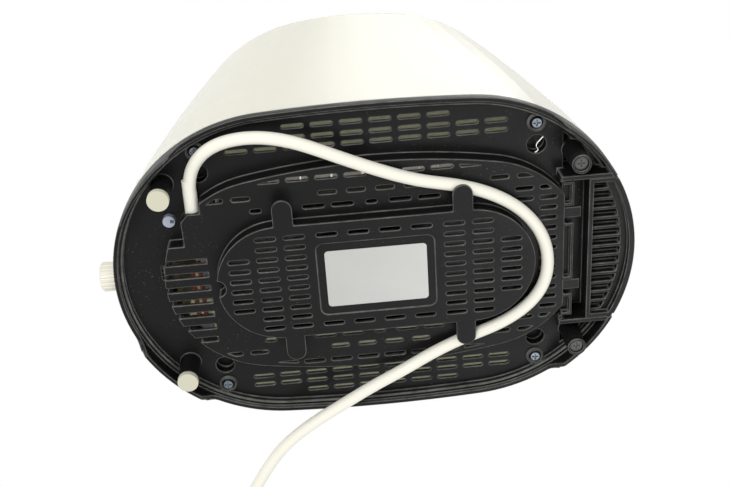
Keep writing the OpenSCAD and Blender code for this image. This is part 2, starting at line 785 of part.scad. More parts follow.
// ---- Bread guards ----
guard_top = body_h - 35;
guard_d = 1.6;
guard_pitch = 19;
module guard(y) color([0.70, 0.71, 0.72]) {
    translate([front_x - 1.5, y, pivot_z]) rotate([0, 90, 0])
        cylinder(d = pivot_d, h = rear_x - front_x + sheet + 3);
    translate([front_x + 7, y, guard_top]) rotate([0, 90, 0])
        cylinder(d = guard_d, h = rear_x - front_x - 13);
    for (i = [0:8]) translate([front_x + 8 + guard_pitch * i, y, pivot_z])
        cylinder(d = guard_d, h = guard_top - pivot_z);
}
module guard_right_outer() guard(-bread_y - guard_x);
module guard_right_inner() guard(-bread_y + guard_x);
module guard_left_inner() guard(bread_y - guard_x);
module guard_left_outer() guard(bread_y + guard_x);

// ---- Electrics ----
module magnet() color([0.45, 0.25, 0.15]) {
    translate([front_x - 11, -6, magnet_top - magnet_h]) cube([11, 12, magnet_h]);
}
pcb_x = 21 - panel_x;
pcb_t = 1.6;
pcb_half = panel_half + 10;
pcb_top = 100;
module circuit_board() color([0.30, 0.26, 0.14]) difference() {
    translate([pcb_x, -pcb_half, floor_top + gap]) cube([pcb_t, 2 * pcb_half, pcb_top - floor_top - gap]);
    translate([pcb_x - cut, -4.5, lever_z - travel - 8]) cube([pcb_t + 2 * cut, 9, 60]);
    translate([pcb_x - cut, 0, knob_z]) rotate([0, 90, 0]) cylinder(d = shaft_d + 1, h = pcb_t + 2 * cut);
}
pot_t = 6;
module potentiometer() color([0.35, 0.36, 0.38]) difference() {
    translate([pcb_x - pot_t, -8, floor_top + gap]) cube([pot_t, 16, 12]);
    translate([pcb_x - pot_t - cut, 0, knob_z]) rotate([0, 90, 0])
        cylinder(d = shaft_d + 2 * run_play, h = pot_t + 2 * cut);
}
module button_switches() color([0.20, 0.20, 0.22]) for (y = [-14, 0, 14])
    translate([pcb_x - 4, y - 3, button_z - 3]) cube([4, 6, 6]);
block_x = front_x - 20;
block_y = 31;
module terminal_block() color([0.88, 0.88, 0.84])
    translate([block_x, block_y, floor_top]) cube([12, 14, 9]);
// Insulated wires from the terminal block; each entry is the place along the block and the length
module inner_wires() for (w = [[5, 33], [9, 36]])
    color([0.80, 0.30, 0.25]) translate([block_x + w[0], block_y, floor_top + 4]) rotate([90, 0, 0])
        cylinder(d = 2.4, h = w[1]);

// ---- Knob and buttons ----
knob_face = half_len + gap + 0.2;
module browning_knob() color([0.90, 0.87, 0.76]) translate([-knob_face, 0, knob_z]) rotate([0, -90, 0]) {
    h = knob_out - gap - 0.2;
    difference() {
        union() {
            cylinder(d = knob_d, h = h - 1);
            translate([0, 0, h - 1]) cylinder(d1 = knob_d, d2 = knob_d - 2, h = 1);
        }
        for (i = [0:19]) rotate(18 * i) translate([knob_d / 2 + 0.25, 0, -cut])
            cylinder(d = 1.3, h = h + 2 * cut, $fn = 16);
        translate([0, 0, -cut]) cylinder(d = shaft_d, h = h - 2 + cut);
    }
}
module knob_shaft() color([0.80, 0.80, 0.82])
    translate([-knob_face - knob_out + 2.5 + gap, 0, knob_z]) rotate([0, 90, 0])
        cylinder(d = shaft_d, h = knob_face + knob_out - 2.5 - gap + pcb_x + pcb_t);
module button(y) color([0.90, 0.87, 0.76]) translate([-panel_x - 2, y, button_z]) rotate([0, 90, 0]) {
    cylinder(d = button_d, h = 7);
    cylinder(d = 4, h = panel_x + 2 + pcb_x - 4 - button_travel - gap);
}
module button_cancel() button(-14);
module button_reheat() button(0);
module button_defrost() button(14);

// ---- Mains lead ----
// Route of the part that is not coiled, as [x, y, z] from the middle of the base
route = [
    [-92.8, -57, 17.6], [-91, -62.5, 16.7], [-86.3, -68.2, 15.5], [-79.6, -73.1, 14.5],
    [-70.2, -76.9, 13.2], [-58, -79, 11.8], [-46.8, -78.5, 10.4], [-33.7, -74.8, 9.2], [-11.5, -64.8, 8],
    [7.5, -56.4, 8], [24.8, -50, 8], [46.3, -45, 8],
    [64, -38, 8], [79, -27, 8], [89, -12, 8], [92, 4, 8], [89, 19, 8], [79, 31, 8],
    [64, 40, 8], [46.3, 46.2, 8], [28, 53, 6], [11, 61, 3.6], [-5, 69, 3.4], [-22, 79, 3.4],
    [-37, 88, 3.4], [-50, 97, 3.4], [-61, 107, 3.4], [-70, 119, 3.4], [-78, 132, 3.4],
    [-85, 145, 3.4], [-91, 159, 3.4], [-95, 174, 3.4], [-95.5, 188, 3.4],
];
cord_r = cord_d / 2;
coil_x = -52;
coil_y = 188;
coil_out = 43.5;
coil_in = 28.4;
tail_z = 17.5;
tail_end = 16;
// Point at fraction t of a smooth curve through points a, b, c, d, between b and c
function blend(a, b, c, d, t) =
    b + 0.5 * t * (c - a + t * (2 * a - 5 * b + 4 * c - d + t * (3 * (b - c) + d - a)));
function smooth(p, k) = let (n = len(p)) concat(
    [for (i = [0:n - 2]) for (j = [0:k - 1])
        blend(p[max(i - 1, 0)], p[i], p[i + 1], p[min(i + 2, n - 1)], j / k)],
    [p[n - 1]]
);
function unit(v) = v / norm(v);
// Tube of radius r with s sides along a list of points
module loft_tube(p, r, s) {
    n = len(p);
    dirs = [for (i = [0:n - 1]) unit(p[min(i + 1, n - 1)] - p[max(i - 1, 0)])];
    loft([for (i = [0:n - 1])
        let (side = unit(cross([0, 0, 1], dirs[i])), up = cross(dirs[i], side))
            [for (j = [0:s - 1]) p[i] + r * (cos(360 * j / s) * side + sin(360 * j / s) * up)]
    ]);
}
module cord_tube() color([0.93, 0.92, 0.86]) loft_tube(smooth(route, 2), cord_r, 10);
module cord_coil() color([0.93, 0.92, 0.86]) translate([coil_x, coil_y, 0]) rotate_extrude($fn = 96) {
    for (r = [coil_in, coil_out]) translate([r, cord_r + 0.05]) circle(cord_r, $fn = 24);
    translate([coil_in, 0.05]) square([coil_out - coil_in, cord_d]);
}
// The lead's end climbs off the inner turn and runs into the plug
module cord_tail() color([0.93, 0.92, 0.86]) loft_tube(concat(
    [for (a = [170:-10:90]) let (t = (170 - a) / 80)
        [coil_x + (coil_in + 0.5) * cos(a), coil_y + (coil_in + 0.5) * sin(a),
            cord_r + 0.05 + 9.5 * ease(t * 0.8)]],
    [[coil_x + 8, coil_y + coil_in + 0.5, tail_z - 1.6], [coil_x + tail_end, coil_y + coil_in + 0.5, tail_z]]
), cord_r, 8);
relief_len = 20;
module strain_relief() color([0.93, 0.92, 0.86])
    translate([lead_x, notch_y + 3, lead_z]) rotate([90, 0, 0]) {
    cylinder(d = relief_d, h = 5);
    translate([0, 0, 5]) cylinder(d1 = relief_d, d2 = cord_d + 0.2, h = relief_len - 5);
    translate([0, 0, -4]) cylinder(d = cord_d, h = 4);
}
module cord_clip() color([0.85, 0.86, 0.90])
    translate([-clip_x - 7, notch_y + 6, floor_z - 3]) difference() {
    cylinder(d = 6.4, h = 5.2);
    translate([0.8, -1, -cut]) cube([2, 2, 3]);
}
plug_x = coil_x + tail_end + 22;
plug_y = coil_y + coil_in + 0.5;
module plug_relief() color([0.93, 0.92, 0.86]) translate([coil_x + tail_end, plug_y, tail_z])
    rotate([0, 90, 0]) cylinder(d1 = cord_d + 0.6, d2 = 11, h = plug_x - coil_x - tail_end);
module plug_body() color([0.93, 0.92, 0.86]) translate([plug_x, plug_y, tail_z]) rotate([0, 90, 0])
    rotate_extrude($fn = 64) polygon([
        [0, 0], [7, 0], [10, 4], [13, 14], [13.5, 20], [17.4, 24], [17.4, 36], [0, 36],
    ]);
module plug_pins() color([0.75, 0.75, 0.76]) for (s = [-1, 1])
    translate([plug_x + 36, plug_y + s * 9.5, tail_z]) rotate([0, 90, 0]) {
        cylinder(d = 4.8, h = 17.5);
        translate([0, 0, 17.5]) cylinder(d1 = 4.8, d2 = 2.4, h = 1.5);
    }

place() base_shell();
place() outer_shell();
place() top_plate();
place() control_panel();
place() crumb_tray();
place() tray_handle();
place() foot_pads();
place() foot_discs();
place() base_screws();
place() label_plate();
place() front_plate();
place() rear_plate();
place() side_reflectors();
place() heater_boards();
place() heating_wires();
place() guide_rods();
place() return_spring();
place() magnet();
place() circuit_board();
place() potentiometer();
place() button_switches();
place() terminal_block();
place() inner_wires();
place() carriage();
place() bread_racks();
place() lever_arm();
place() lever_knob();
place() guard_right_outer();
place() guard_right_inner();
place() guard_left_inner();
place() guard_left_outer();
place() browning_knob();
place() knob_shaft();
place() button_cancel();
place() button_reheat();
place() button_defrost();
place() strain_relief();
place() cord_clip();
place() cord_tube();
place() cord_coil();
place() cord_tail();
place() plug_relief();
place() plug_body();
place() plug_pins();
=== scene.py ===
# %% [markdown]
# # A two-slice toaster seen from below
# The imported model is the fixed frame: every moulding, screw and slot is already in place and at its
# real size. This lesson adds what the eye needs: the camera, the lead as a real curve, and a finish
# for each surface. Everything is in metres, standing on the plane z = 0.

# %% Load the frame
import math

import bpy
import numpy as np
from mathutils import Matrix, Vector


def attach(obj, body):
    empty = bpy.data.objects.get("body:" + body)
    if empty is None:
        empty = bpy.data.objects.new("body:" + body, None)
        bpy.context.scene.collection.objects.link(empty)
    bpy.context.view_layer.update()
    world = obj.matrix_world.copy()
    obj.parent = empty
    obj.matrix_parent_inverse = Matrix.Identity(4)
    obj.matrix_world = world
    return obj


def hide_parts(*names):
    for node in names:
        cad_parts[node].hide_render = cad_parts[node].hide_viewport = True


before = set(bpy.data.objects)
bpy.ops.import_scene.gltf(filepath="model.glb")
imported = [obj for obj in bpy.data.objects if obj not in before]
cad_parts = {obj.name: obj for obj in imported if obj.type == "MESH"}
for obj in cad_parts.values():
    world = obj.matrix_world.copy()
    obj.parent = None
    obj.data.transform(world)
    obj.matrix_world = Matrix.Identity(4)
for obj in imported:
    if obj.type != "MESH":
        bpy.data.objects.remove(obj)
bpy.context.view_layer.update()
scene = bpy.context.scene
MM = 0.001
# The base's middle lies this far along +X from the origin of the row
BASE_X = 4.5 * MM


def at(x, y, z):
    """A point given in millimetres from the middle of the base, as metres in the row's frame."""
    return (x * MM + BASE_X, y * MM, z * MM)


# %% [markdown]
# The camera comes first, because the lead has to know what the picture shows. It looks up at the
# underside from the lever side, tilted by about 27 degrees. The matrix is written as the three
# directions of the picture: right, down, and into the scene.

# %% Camera
CAMERA_AT = (-0.01787, -0.27473, -0.49791)
RIGHT = (0.9956383, 0.06476714, -0.06715355)
DOWN = (-0.08816407, 0.88860572, -0.45011884)
INTO = (0.03052012, 0.45407608, 0.89044002)
FOCAL_PIXELS = 1086.54
FRAME_PIXELS = 730
SENSOR_MM = 36.0

camera_data = bpy.data.cameras.new("camera")
camera_data.sensor_fit = "HORIZONTAL"
camera_data.sensor_width = SENSOR_MM
camera_data.lens = SENSOR_MM * FOCAL_PIXELS / FRAME_PIXELS
camera_data.clip_start = 0.01
camera = bpy.data.objects.new("camera", camera_data)
scene.collection.objects.link(camera)
# Blender's camera looks along its own -Z with +Y up, so down and into change sign
columns = [RIGHT, [-v for v in DOWN], [-v for v in INTO], CAMERA_AT]
camera.matrix_world = Matrix([[c[row] for c in columns] for row in range(3)]).to_4x4()
scene.camera = camera
print("lens", round(camera_data.lens, 2))

# %% [markdown]
# The mains lead is a round flex 6.7 mm thick. It leaves the wall of the platform through a short
# tapered sleeve, runs behind two of the cord tabs, goes out under the arch of the rim and lies on the
# table. The stretch that is put away is wound in a flat coil, and the plug lies beside it. A curve
# object with a round bevel could do it too; here a circle is carried along an evenly cut path.

# %% Route of the lead
CORD_D = 6.7 * MM
ROUTE = [
    (-92.8, -40, 17.6), (-93.1, -48, 17.6), (-92.4, -57, 17.4), (-89.9, -64.2, 16.7),
    (-85.4, -70.4, 15.5), (-79.2, -75.1, 14.5), (-69.7, -78.4, 13.2), (-58, -79.6, 11.8),
    (-46.8, -78.5, 10.4), (-33.7, -74.8, 9.2), (-11.5, -64.8, 8), (7.5, -56.4, 8), (24.8, -50, 8),
    (46.3, -45, 8),
    (64, -38, 8), (79, -27, 8), (89, -12, 8), (92, 4, 8), (89, 19, 8), (79, 31, 8),
    (64, 40, 8), (46.3, 46.2, 8), (28, 53, 6), (11, 61, 3.6), (-5, 69, 3.4), (-22, 79, 3.4),
    (-37, 88, 3.4), (-50, 97, 3.4), (-61, 107, 3.4), (-70, 119, 3.4), (-78, 132, 3.4),
    (-85, 145, 3.4), (-91, 159, 3.4), (-95, 174, 3.4),
]
# The coil: its middle, its outer and inner radius, and its turns
COIL_X, COIL_Y = -52.0, 188.0
COIL_OUT, COIL_IN = 43.5, 28.4
COIL_TURNS = 2.25
POINTS_PER_TURN = 16
# Height of the lead's middle where it lies on the table, and how far it climbs to the plug. The climb
# starts RISE_FROM of the way along the coil, at a pace that would take RISE_SPAN of it.
LIE_Z = 3.4
TAIL_RISE = 14.1
RISE_FROM, RISE_SPAN = 0.78, 0.30
TAIL_END = 16.0
# How a path is cut: samples for each span between knots, and rounds of easing
SPAN_SAMPLES = 24
EASE_ROUNDS = 30


def coil_points():
    """A spiral, flat but for its last stretch. For t from 0 to 1:
    angle = pi - 2 pi turns t, and radius = out + (in - out) t."""
    n = int(COIL_TURNS * POINTS_PER_TURN)
    t = np.arange(n) / (n - 1)
    angle = math.pi - 2 * math.pi * COIL_TURNS * t
    radius = COIL_OUT + (COIL_IN - COIL_OUT) * t
    # The last stretch climbs off the table by a smooth step: s * s * (3 - 2 s)
    s = np.clip((t - RISE_FROM) / RISE_SPAN, 0, 1)
    z = LIE_Z + TAIL_RISE * s * s * (3 - 2 * s)
    return np.stack([COIL_X + radius * np.cos(angle), COIL_Y + radius * np.sin(angle), z], 1)


# Past the coil: one point where the bend ends, then two in line for a straight run into the plug
TAIL = [
    (COIL_X + 8, COIL_Y + COIL_IN + 0.2, LIE_Z + 0.94 * TAIL_RISE),
    (COIL_X + TAIL_END, COIL_Y + COIL_IN + 0.5, LIE_Z + TAIL_RISE),
    (COIL_X + TAIL_END + 10, COIL_Y + COIL_IN + 0.5, LIE_Z + TAIL_RISE),
]


def even_path(knots, step):
    """A cubic curve through every knot (each span leaves along the line between its neighbours),
    cut into steps of equal length, then eased by averaging each point with the two beside it. The
    easing rounds the curve slightly off its knots."""
    p = np.vstack([2 * knots[:1] - knots[1:2], knots, 2 * knots[-1:] - knots[-2:-1]])
    before, start, end, after = p[:-3, None], p[1:-2, None], p[2:-1, None], p[3:, None]
    t = np.linspace(0, 1, SPAN_SAMPLES, endpoint=False)[None, :, None]
    bend = 2 * before - 5 * start + 4 * end - after + t * (3 * (start - end) + after - before)
    points = np.vstack([(start + 0.5 * t * (end - before + t * bend)).reshape(-1, 3), knots[-1:]])
    along = np.concatenate([[0], np.cumsum(np.linalg.norm(np.diff(points, axis=0), axis=1))])
    even = np.linspace(0, along[-1], int(along[-1] / step) + 1)
    points = np.stack([np.interp(even, along, points[:, k]) for k in range(3)], 1)
    for _ in range(EASE_ROUNDS):
        points[1:-1] = 0.25 * points[:-2] + 0.5 * points[1:-1] + 0.25 * points[2:]
    return points


def tube(name, points, radius, sides):
    """Skin a round tube: each ring is the path's point + radius (cos a * side + sin a * up), where
    side is level and square to the path, and up is square to both. Both ends are closed."""
    ahead = np.gradient(points, axis=0)
    ahead /= np.linalg.norm(ahead, axis=1, keepdims=True)
    side = np.cross((0, 0, 1), ahead)
    side /= np.linalg.norm(side, axis=1, keepdims=True)
    up = np.cross(ahead, side)
    a = np.linspace(0, 2 * math.pi, sides, endpoint=False)[None, :, None]
    rings = points[:, None] + radius * (np.cos(a) * side[:, None] + np.sin(a) * up[:, None])
    verts = rings.reshape(-1, 3)
    ring, spoke = np.meshgrid(np.arange(len(points) - 1), np.arange(sides), indexing="ij")
    here, turn = ring * sides + spoke, ring * sides + (spoke + 1) % sides
    quads = np.stack([here, turn, turn + sides, here + sides], -1).reshape(-1, 4).tolist()
    caps = [list(range(sides))[::-1], list(range(len(verts) - sides, len(verts)))]
    mesh = bpy.data.meshes.new(name)
    mesh.from_pydata(verts.tolist(), [], quads + caps)
    mesh.shade_smooth()
    piece = bpy.data.objects.new(name, mesh)
    scene.collection.objects.link(piece)
    return piece


# %% Make the lead
LEAD_STEP = 1.5 * MM
LEAD_SIDES = 20
lead_knots = np.array(ROUTE + [tuple(p) for p in coil_points()] + TAIL) * MM
lead_knots = lead_knots + np.array([BASE_X, 0, 0])
lead_path = even_path(lead_knots, LEAD_STEP)
mains_lead = tube("mains_lead", lead_path, CORD_D / 2, LEAD_SIDES)

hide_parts("cord_tube", "cord_coil", "cord_tail")
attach(mains_lead, "body")

# %% [markdown]
# A finish is a small network of nodes. Four effects come back in many finishes, so each is built
# once as a node group with named sockets: the fine grain that a mould leaves, the way an edge is
# rounded and given a painted highlight, dust, and the scratches of brushed metal. A group gives only
# masks, values and normals; the shader stays in the material.

# %% Helpers for node trees
def new_group(name, inputs, outputs):
    """An empty node group; inputs are (name, kind, value) and outputs are (name, kind)."""
    tree = bpy.data.node_groups.new(name, "ShaderNodeTree")
    for label, kind, value in inputs:
        socket = tree.interface.new_socket(label, in_out="INPUT", socket_type="NodeSocket" + kind)
        socket.default_value = value
    for label, kind in outputs:
        tree.interface.new_socket(label, in_out="OUTPUT", socket_type="NodeSocket" + kind)
    inside = tree.nodes.new("NodeGroupInput").outputs
    return tree, inside, tree.nodes.new("NodeGroupOutput").inputs


def add(tree, kind, sockets=None, **settings):
    """Add a shader node; each socket is given a number, a colour or another node's output."""
    node = tree.nodes.new("ShaderNode" + kind)
    for key, value in settings.items():
        setattr(node, key, value)
    for key, value in (sockets or {}).items():
        if isinstance(value, bpy.types.NodeSocket):
            tree.links.new(value, node.inputs[key])
        else:
            node.inputs[key].default_value = value
    return node


# %% Group: moulded grain
# A coarse noise lets the roughness wander between two values, and a fine one gives the bump.
grain_group, ins, outs = new_group(
    "moulded_grain",
    [("Scale", "Float", 900.0), ("Smooth", "Float", 0.38), ("Rough", "Float", 0.5)],
    [("Roughness", "Float"), ("Height", "Float")])
place = add(grain_group, "TexCoord").outputs["Object"]
clouds = add(grain_group, "TexNoise", {"Vector": place, "Scale": 45.0, "Detail": 3.0})
patchy = add(grain_group, "MapRange", {
    "Value": clouds.outputs["Fac"], "From Min": 0.35, "From Max": 0.65,
    "To Min": ins["Smooth"], "To Max": ins["Rough"]})
fine = add(grain_group, "TexNoise", {"Vector": place, "Scale": ins["Scale"], "Detail": 2.0})
grain_group.links.new(patchy.outputs["Result"], outs["Roughness"])
grain_group.links.new(fine.outputs["Fac"], outs["Height"])

# %% Group: rounded edges and their painted highlight
# The Bevel node looks a little way round each point, so its normal turns smoothly over a sharp edge.
# Where it departs from the true normal there is an edge: 1 - dot product is 0 on a flat face.
edge_group, ins, outs = new_group(
    "rounded_edge_painted_highlight",
    [("Radius", "Float", 0.0006), ("Wider", "Float", 0.0), ("Spread", "Float", 0.2)],
    [("Mask", "Float"), ("Normal", "Vector")])
# Upright walls meet the faces below in a wider curve:
# radius * (1 + wider * (1 - |upward part of the normal|))
true_normal = add(edge_group, "NewGeometry").outputs["Normal"]
upward = add(edge_group, "SeparateXYZ", {"Vector": true_normal}).outputs["Z"]
flat = add(edge_group, "Math", {0: upward}, operation="ABSOLUTE").outputs[0]
upright = add(edge_group, "Math", {0: 1.0, 1: flat}, operation="SUBTRACT").outputs[0]
times = add(edge_group, "Math", {0: upright, 1: ins["Wider"], 2: 1.0},
            operation="MULTIPLY_ADD").outputs[0]
reach = add(edge_group, "Math", {0: times, 1: ins["Radius"]}, operation="MULTIPLY").outputs[0]
rounded = add(edge_group, "Bevel", {"Radius": reach}, samples=6)
match = add(edge_group, "VectorMath", {0: rounded.outputs["Normal"], 1: true_normal},
            operation="DOT_PRODUCT")
away = add(edge_group, "Math", {0: 1.0, 1: match.outputs["Value"]}, operation="SUBTRACT")
# Painted highlight: the mask rises where the rounded normal parts from the true one, and a noise
# breaks it into patches; the materials make their colour paler there.
highlight_patch_noise = add(edge_group, "TexNoise", {
    "Vector": add(edge_group, "TexCoord").outputs["Object"], "Scale": 160.0, "Detail": 3.0})
edge_highlight_band = add(edge_group, "MapRange", {
    "Value": away.outputs[0], "From Min": 0.01, "From Max": ins["Spread"]})
edge_highlight_patches = add(edge_group, "Math", {0: edge_highlight_band.outputs["Result"], 1: highlight_patch_noise.outputs["Fac"]},
           operation="MULTIPLY")
edge_group.links.new(edge_highlight_patches.outputs[0], outs["Mask"])
edge_group.links.new(rounded.outputs["Normal"], outs["Normal"])

# %% Group: dust
# Specks are the peaks of a very fine noise, and they gather where a coarse noise is high.
dust_group, ins, outs = new_group(
    "dust",
    [("Amount", "Float", 0.5), ("Scale", "Float", 1100.0)],
    [("Mask", "Float")])
place = add(dust_group, "TexCoord").outputs["Object"]
specks = add(dust_group, "TexNoise", {"Vector": place, "Scale": ins["Scale"], "Detail": 1.0})
peaks = add(dust_group, "MapRange", {
    "Value": specks.outputs["Fac"], "From Min": 0.70, "From Max": 0.78})
drift = add(dust_group, "TexNoise", {"Vector": place, "Scale": 22.0, "Detail": 2.0})
gather = add(dust_group, "MapRange", {
    "Value": drift.outputs["Fac"], "From Min": 0.42, "From Max": 0.7, "To Max": ins["Amount"]})
both = add(dust_group, "Math", {0: peaks.outputs["Result"], 1: gather.outputs["Result"]},
           operation="MULTIPLY")
dust_group.links.new(both.outputs[0], outs["Mask"])

# %% Group: brushed or drawn metal
# The coordinates are stretched before the noise is read, so that its cells become long scratches.
brush_group, ins, outs = new_group(
    "brushed",
    [("Stretch", "Vector", (1.0, 40.0, 40.0)), ("Low", "Float", 0.25), ("High", "Float", 0.4)],
    [("Roughness", "Float"), ("Height", "Float"), ("Tint", "Float")])
place = add(brush_group, "TexCoord").outputs["Object"]
drawn = add(brush_group, "VectorMath", {0: place, 1: ins["Stretch"]}, operation="MULTIPLY")
hairs = add(brush_group, "TexNoise", {
    "Vector": drawn.outputs["Vector"], "Scale": 40.0, "Detail": 4.0})
sheen = add(brush_group, "MapRange", {
    "Value": hairs.outputs["Fac"], "From Min": 0.3, "From Max": 0.7,
    "To Min": ins["Low"], "To Max": ins["High"]})
tint = add(brush_group, "TexNoise", {"Vector": place, "Scale": 30.0, "Detail": 4.0})
brush_group.links.new(sheen.outputs["Result"], outs["Roughness"])
brush_group.links.new(hairs.outputs["Fac"], outs["Height"])
brush_group.links.new(tint.outputs["Fac"], outs["Tint"])
print("groups", [g.name for g in bpy.data.node_groups])

# %% [markdown]
# Plastics and rubber share one recipe: a base colour with a painted highlight along the edges and
# paler under dust, a roughness that wanders, and a bump from the grain laid on the rounded normal.
# Only numbers differ.

# %% Helpers for materials
# Depth of the bump for grain and for scratches, and how far light spreads in glowing plastic: a share
# for each colour, and the length that they are shares of
GRAIN_DEPTH = 0.05 * MM
SCRATCH_DEPTH = 0.02 * MM
BUMP_GAIN = 10
GLOW_REACH = (0.92, 0.92, 0.8)
GLOW_DEPTH = 10 * MM


def use_group(tree, group, sockets):
    """Place a node group in a material with its own values."""
    node = tree.nodes.new("ShaderNodeGroup")
    node.node_tree = group
    for key, value in sockets.items():
        node.inputs[key].default_value = value
    return node


def mix_colour(tree, factor, first, second):
    """Blend two colours by a mask."""
    node = add(tree, "Mix", {"Factor": factor}, data_type="RGBA")
    for name, value in (("A", first), ("B", second)):
        socket = [s for s in node.inputs if s.name == name and s.type == "RGBA"][0]
        if isinstance(value, bpy.types.NodeSocket):
            tree.links.new(value, socket)
        else:
            socket.default_value = (*value, 1)
    return [s for s in node.outputs if s.type == "RGBA"][0]


def new_material(name):
    """A material with an empty tree that holds the shader and the output."""
    material = bpy.data.materials.new(name)
    material.use_nodes = True
    return material, material.node_tree, material.node_tree.nodes["Principled BSDF"]


# %% Recipe for moulded plastics
def plastic(name, colour, edge_highlight_colour, roughness, specular=0.5, radius=0.5, grain=900.0, bump=0.02,
            dust=0.0, dust_colour=(0.30, 0.30, 0.28), glow=0.0, wider=0.0):
    """Moulded plastic: colour and the painted highlight colour of its edges, (smooth, rough)
    roughness, edge radius in mm, dust and glow from 0 to 1, and how much more an upright wall is
    rounded (1 doubles the radius)."""
    material, tree, shader = new_material(name)
    edge_round_highlight = use_group(tree, edge_group, {"Radius": radius * MM, "Wider": wider})
    smooth, rough = roughness
    skin = use_group(tree, grain_group, {"Scale": grain, "Smooth": smooth, "Rough": rough})
    specks = use_group(tree, dust_group, {"Amount": dust})
    # Painted highlight: the edge colour is blended in along the edges by the mask.
    paint = mix_colour(tree, edge_round_highlight.outputs["Mask"], colour, edge_highlight_colour)
    paint = mix_colour(tree, specks.outputs["Mask"], paint, dust_colour)
    tree.links.new(paint, shader.inputs["Base Color"])
    tree.links.new(skin.outputs["Roughness"], shader.inputs["Roughness"])
    relief = add(tree, "Bump", {
        "Height": skin.outputs["Height"], "Strength": bump * BUMP_GAIN,
        "Distance": GRAIN_DEPTH, "Normal": edge_round_highlight.outputs["Normal"]})
    tree.links.new(relief.outputs["Normal"], shader.inputs["Normal"])
    shader.inputs["Specular IOR Level"].default_value = specular
    if glow:
        shader.inputs["Subsurface Weight"].default_value = glow
        shader.inputs["Subsurface Radius"].default_value = GLOW_REACH
        shader.inputs["Subsurface Scale"].default_value = GLOW_DEPTH
    return material


# %% Recipe for metals
def metal(name, colour, dull, roughness, stretch=(1.0, 40.0, 40.0), radius=0.2, bump=0.15,
          metallic=1.0):
    """Bare or plated metal: bright and dull colour, (low, high) roughness, and how much the noise is
    drawn out across the scratches on each axis."""
    material, tree, shader = new_material(name)
    edge_round_highlight = use_group(tree, edge_group, {"Radius": radius * MM})
    low, high = roughness
    hairs = use_group(tree, brush_group, {"Stretch": stretch, "Low": low, "High": high})
    paint = mix_colour(tree, hairs.outputs["Tint"], colour, dull)
    tree.links.new(paint, shader.inputs["Base Color"])
    tree.links.new(hairs.outputs["Roughness"], shader.inputs["Roughness"])
    relief = add(tree, "Bump", {
        "Height": hairs.outputs["Height"], "Strength": bump,
        "Distance": SCRATCH_DEPTH, "Normal": edge_round_highlight.outputs["Normal"]})
    tree.links.new(relief.outputs["Normal"], shader.inputs["Normal"])
    shader.inputs["Metallic"].default_value = metallic
    return material


def dress(material, *nodes):
    """Put a material on the carried-over solids of the model."""
    for node in nodes:
        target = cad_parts[node]
        target.data.materials.clear()
        target.data.materials.append(material)


# %% [markdown]
# The base, the tray's grip and the panel are satin black. Straight on, they are almost as dark as
# ink; at a low angle they mirror the white room and turn grey, which Fresnel gives by itself. Thin
# pale lines run along every edge: the rounded normal mirrors a little light there, and a painted
# highlight in the base colour makes them paler still.

# %% Black mouldings
# Painted highlight: the edge colours of the black mouldings, (0.38, 0.38, 0.36) here, paint pale
# lines along every edge, three times as wide on upright walls.
black = plastic("satin_black", (0.0076, 0.0082, 0.0076), (0.38, 0.38, 0.36), (0.30, 0.42),
                specular=0.14, radius=0.9, grain=1400.0, bump=0.03, dust=0.35, wider=2.0)
dress(black, "base_shell", "tray_handle", "button_switches")
dress(plastic("panel_black", (0.014, 0.014, 0.014), (0.06, 0.06, 0.06), (0.30, 0.42),
              specular=0.3, radius=0.6, grain=1400.0, dust=0.2), "control_panel")
dress(plastic("foot_black", (0.075, 0.075, 0.072), (0.40, 0.40, 0.38), (0.35, 0.5),
              radius=0.6, dust=0.3), "foot_discs")

# %% Cream mouldings
# The outer shell lets a little light through, so its inside glows cream behind the slots of the base.
cream = plastic("cream_gloss", (0.96, 0.91, 0.69), (0.96, 0.91, 0.69), (0.24, 0.26),
                radius=1.5, grain=300.0, bump=0.01, dust=0.05, dust_colour=(0.5, 0.48, 0.4),
                glow=0.7)
dress(cream, "outer_shell")
# The second colour here is a painted highlight along the edges.
controls = plastic("cream_controls", (0.85, 0.82, 0.70), (0.90, 0.88, 0.78), (0.18, 0.28),
                   radius=0.4, grain=500.0, bump=0.01)
dress(controls, "browning_knob", "lever_knob", "button_cancel", "button_reheat", "button_defrost")

# %% Rubber, flex and pale plastic
# In each plastic below, the second colour is a painted highlight along the edges; for the flex it is
# the base colour itself.
rubber = plastic("pad_rubber", (0.62, 0.60, 0.47), (0.80, 0.79, 0.70), (0.6, 0.8),
                 specular=0.3, radius=0.4, grain=700.0, bump=0.08, dust=0.3,
                 dust_colour=(0.25, 0.24, 0.2))
dress(rubber, "foot_pads")
flex = plastic("flex_white", (0.88, 0.86, 0.75), (0.88, 0.86, 0.75), (0.34, 0.5),
               specular=0.4, radius=0.2, grain=600.0, bump=0.02, dust=0.25,
               dust_colour=(0.55, 0.50, 0.38))
mains_lead.data.materials.append(flex)
dress(flex, "strain_relief", "cord_tube", "cord_coil", "cord_tail", "plug_relief", "plug_body")
dress(plastic("clip_white", (0.38, 0.41, 0.49), (0.55, 0.58, 0.64), (0.25, 0.4), grain=600.0),
      "cord_clip", "terminal_block")
dress(plastic("pot_grey", (0.13, 0.135, 0.15), (0.25, 0.25, 0.26), (0.35, 0.5)),
      "potentiometer")
dress(plastic("wire_red", (0.50, 0.10, 0.07), (0.5, 0.12, 0.1), (0.35, 0.5), radius=0.2),
      "inner_wires")
dress(plastic("board_brown", (0.22, 0.14, 0.06), (0.3, 0.22, 0.12), (0.45, 0.6), radius=0.2),
      "circuit_board")

